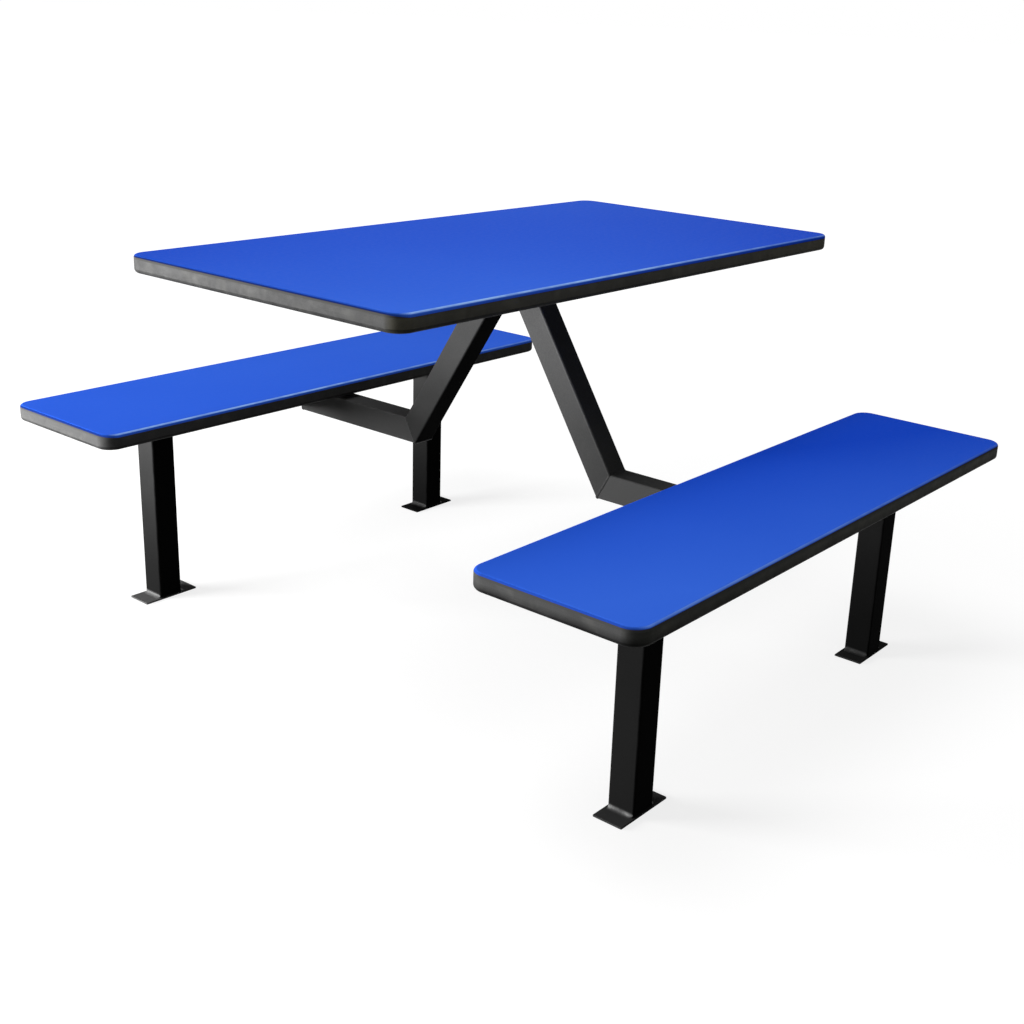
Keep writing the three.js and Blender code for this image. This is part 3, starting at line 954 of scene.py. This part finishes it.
def screw(node):
    """Pan head with a six-lobed recess, pointing down, and a plain shank with a point."""
    low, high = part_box(node)
    axis = Vector(((low.x + high.x) / 2, (low.y + high.y) / 2, 0))
    head_top = low.z + SCREW_HEAD_HEIGHT
    steps = ((SCREW_RECESS, low.z), (SCREW_CROWN, low.z), (SCREW_HEAD, low.z + SCREW_CROWN_HEIGHT),
             (SCREW_HEAD, head_top), (SCREW_SHANK, head_top), (SCREW_SHANK, high.z - SCREW_TIP_LENGTH),
             (SCREW_TIP, high.z))
    bm = bmesh.new()
    profile = [bm.verts.new(axis + Vector((radius, 0, height))) for radius, height in steps]
    edges = [bm.edges.new(pair) for pair in zip(profile, profile[1:])]
    bmesh.ops.spin(bm, geom=profile + edges, cent=axis, axis=UP, angle=math.tau,
                   steps=SCREW_FACETS, use_merge=True)
    bmesh.ops.holes_fill(bm, edges=bm.edges)
    screw_recess(bm, axis)
    bmesh.ops.recalc_face_normals(bm, faces=bm.faces)
    finish_piece(f"{node}_pan", bm, ZINC_FINISH, "screw", node)


# Whole frame
def bench_frame(side):
    """The rail, arm, knee, diagonal, legs and feet that carry one seat."""
    rail = f"{side}_seat_rail"
    straight_tube(rail, X_AXIS, FRAME_FINISH)
    end_seam(rail, X_AXIS, LOW_END)
    end_seam(rail, X_AXIS, HIGH_END)
    arm(side)
    end_seam(f"{side}_arm", Y_AXIS, LOW_END if side == "front" else HIGH_END)
    knee_seam(side)
    diagonal(side)
    for end in ENDS:
        place = f"{side}_{end}"
        straight_tube(f"{place}_leg", Z_AXIS, leg_paint(place))
        foot_plate(place)
        foot_welds(place)


def half_spine(end):
    straight_tube(f"{end}_spine", X_AXIS, FRAME_FINISH)
    end_seam(f"{end}_spine", X_AXIS, HIGH_END if end == "left" else LOW_END)
    plug(f"{end}_spine_plug")


def build_frame():
    for side in SIDES:
        bench_frame(side)
    for end in ENDS:
        half_spine(end)
    for node in sorted(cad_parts):
        if node.endswith("_bearer"):
            bearer(node)
        elif node.endswith("_screw"):
            screw(node)


# Floor, light and camera
FLOOR_SIZE = 400.0
FLOOR_SHADE = 0.25
FLOOR_GLOW = 0.8
FLOOR_GLOW_FAR = 1.0
FLOOR_NEAR = 1.2
FLOOR_FAR = 3.5
AMBIENT = 0.25
OVER_PLACE = Vector((-0.6, 0.3, 4.2))
OVER_SIZE = (2.5, 2.5)
OVER_POWER = 97.0
LOW_PLACE = Vector((-1.9, 1.7, 0.42))
LOW_SIZE = (1.2, 0.6)
LOW_POWER = 200.0
TABLE_MIDDLE = Vector((0.0, 0.0, 0.6))
FRAME_MIDDLE = Vector((0.0, 0.0, 0.42))

IMAGE = 1024
SENSOR = 36.0
FOCAL_PIXELS = 1372.0
CENTRE_PIXEL = (560.0, 480.0)
CAMERA_PLACE = Vector((-1.897, -1.6214, 1.1404))
CAMERA_YAW = math.radians(-51.727)
CAMERA_PITCH = math.radians(18.63)
CAMERA_ROLL = math.radians(2.452)


def seen_directly(tree):
    """One for camera, glossy and transmission rays, nought for the rays that light the object."""
    path = tree.nodes.new("ShaderNodeLightPath")
    total = path.outputs["Is Camera Ray"]
    for name in ("Is Glossy Ray", "Is Transmission Ray"):
        total = worked_out_in(tree, "MAXIMUM", total, path.outputs[name])
    return total


def by_ray(tree, lighting, seen):
    return ranged_in(tree, seen_directly(tree), 0.0, 1.0, lighting, seen)


def white_surroundings():
    world = bpy.data.worlds.new("white_room")
    world.use_nodes = True
    tree = world.node_tree
    back = tree.nodes["Background"]
    back.inputs["Color"].default_value = (1, 1, 1, 1)
    tree.links.new(by_ray(tree, AMBIENT, 1.0), back.inputs["Strength"])
    bpy.context.scene.world = world


def glow_by_distance(tree):
    """The floor is plain white far off, and a little less near the table so that its shadow shows."""
    place = tree.nodes.new("ShaderNodeTexCoord")
    distance = tree.nodes.new("ShaderNodeVectorMath")
    distance.operation = "LENGTH"
    tree.links.new(place.outputs["Object"], distance.inputs[0])
    return ranged_in(tree, distance.outputs["Value"], FLOOR_NEAR, FLOOR_FAR, FLOOR_GLOW, FLOOR_GLOW_FAR)


def floor_white():
    """A matt floor that glows white only for the rays that see it."""
    material = bpy.data.materials.new("floor_white")
    material.use_nodes = True
    tree = material.node_tree
    tree.nodes.remove(tree.nodes["Principled BSDF"])
    matt = tree.nodes.new("ShaderNodeBsdfDiffuse")
    matt.inputs["Color"].default_value = (*grey(FLOOR_SHADE), 1)
    glow = tree.nodes.new("ShaderNodeEmission")
    seen_glow = worked_out_in(tree, "MULTIPLY", by_ray(tree, 0.0, 1.0), glow_by_distance(tree))
    tree.links.new(seen_glow, glow.inputs["Strength"])
    both = tree.nodes.new("ShaderNodeAddShader")
    tree.links.new(matt.outputs["BSDF"], both.inputs[0])
    tree.links.new(glow.outputs["Emission"], both.inputs[1])
    tree.links.new(both.outputs["Shader"], tree.nodes["Material Output"].inputs["Surface"])
    return material


def pale_floor():
    bm = bmesh.new()
    bmesh.ops.create_grid(bm, x_segments=1, y_segments=1, size=FLOOR_SIZE / 2)
    mesh = bpy.data.meshes.new("floor")
    bm.to_mesh(mesh)
    bm.free()
    mesh.materials.append(floor_white())
    floor = bpy.data.objects.new("floor", mesh)
    bpy.context.collection.objects.link(floor)


def soft_box(name, place, aim, size, power):
    lamp = bpy.data.lights.new(name, "AREA")
    lamp.shape = "RECTANGLE"
    lamp.size, lamp.size_y = size
    lamp.energy = power
    light = bpy.data.objects.new(name, lamp)
    light.location = place
    light.rotation_euler = (aim - place).to_track_quat("-Z", "Y").to_euler()
    light.visible_camera = False
    bpy.context.collection.objects.link(light)


def photo_camera():
    back = Vector((math.sin(CAMERA_YAW) * math.cos(CAMERA_PITCH),
                   -math.cos(CAMERA_YAW) * math.cos(CAMERA_PITCH),
                   math.sin(CAMERA_PITCH)))
    right = UP.cross(back).normalized()
    up = back.cross(right)
    turned_right = right * math.cos(CAMERA_ROLL) + up * math.sin(CAMERA_ROLL)
    turned_up = up * math.cos(CAMERA_ROLL) - right * math.sin(CAMERA_ROLL)
    lens = bpy.data.cameras.new("photo_camera")
    lens.sensor_width = SENSOR
    lens.lens = FOCAL_PIXELS * SENSOR / IMAGE
    lens.shift_x = (IMAGE / 2 - CENTRE_PIXEL[0]) / IMAGE
    lens.shift_y = (CENTRE_PIXEL[1] - IMAGE / 2) / IMAGE
    camera = bpy.data.objects.new("photo_camera", lens)
    facing = Matrix((turned_right, turned_up, back)).transposed()
    camera.matrix_world = Matrix.Translation(CAMERA_PLACE) @ facing.to_4x4()
    bpy.context.collection.objects.link(camera)
    bpy.context.scene.camera = camera


for board_name in BOARDS:
    board_parts(board_name)
build_frame()
white_surroundings()
pale_floor()
soft_box("over_light", OVER_PLACE, TABLE_MIDDLE, OVER_SIZE, OVER_POWER)
soft_box("low_side_light", LOW_PLACE, FRAME_MIDDLE, LOW_SIZE, LOW_POWER)
photo_camera()
bpy.context.scene.view_settings.view_transform = "Standard"
